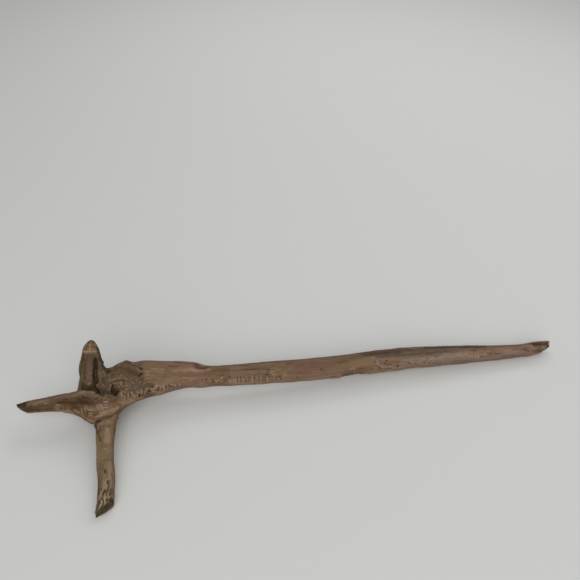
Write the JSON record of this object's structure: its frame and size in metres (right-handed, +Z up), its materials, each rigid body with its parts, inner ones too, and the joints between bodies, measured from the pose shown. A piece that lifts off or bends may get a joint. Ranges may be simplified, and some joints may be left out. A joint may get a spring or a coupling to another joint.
{
  "type": "driftwood branch",
  "caption": "Weathered driftwood branch: a long tapering shaft and short gnawed stubs that meet in a gnarled knot, lying on its own low points.",
  "frame": {"origin": "middle of the worn flat under the heel of the knot", "axes": "+X along the long shaft, +Y away from the near stub, +Z up"},
  "size_m": [0.6152, 0.2271, 0.0891],
  "materials": {
    "wood": "weathered, dry and matt, with smooth worn places"
  },
  "bodies": {
    "root": {"driftwood": "wood"}
  },
  "joints": []
}
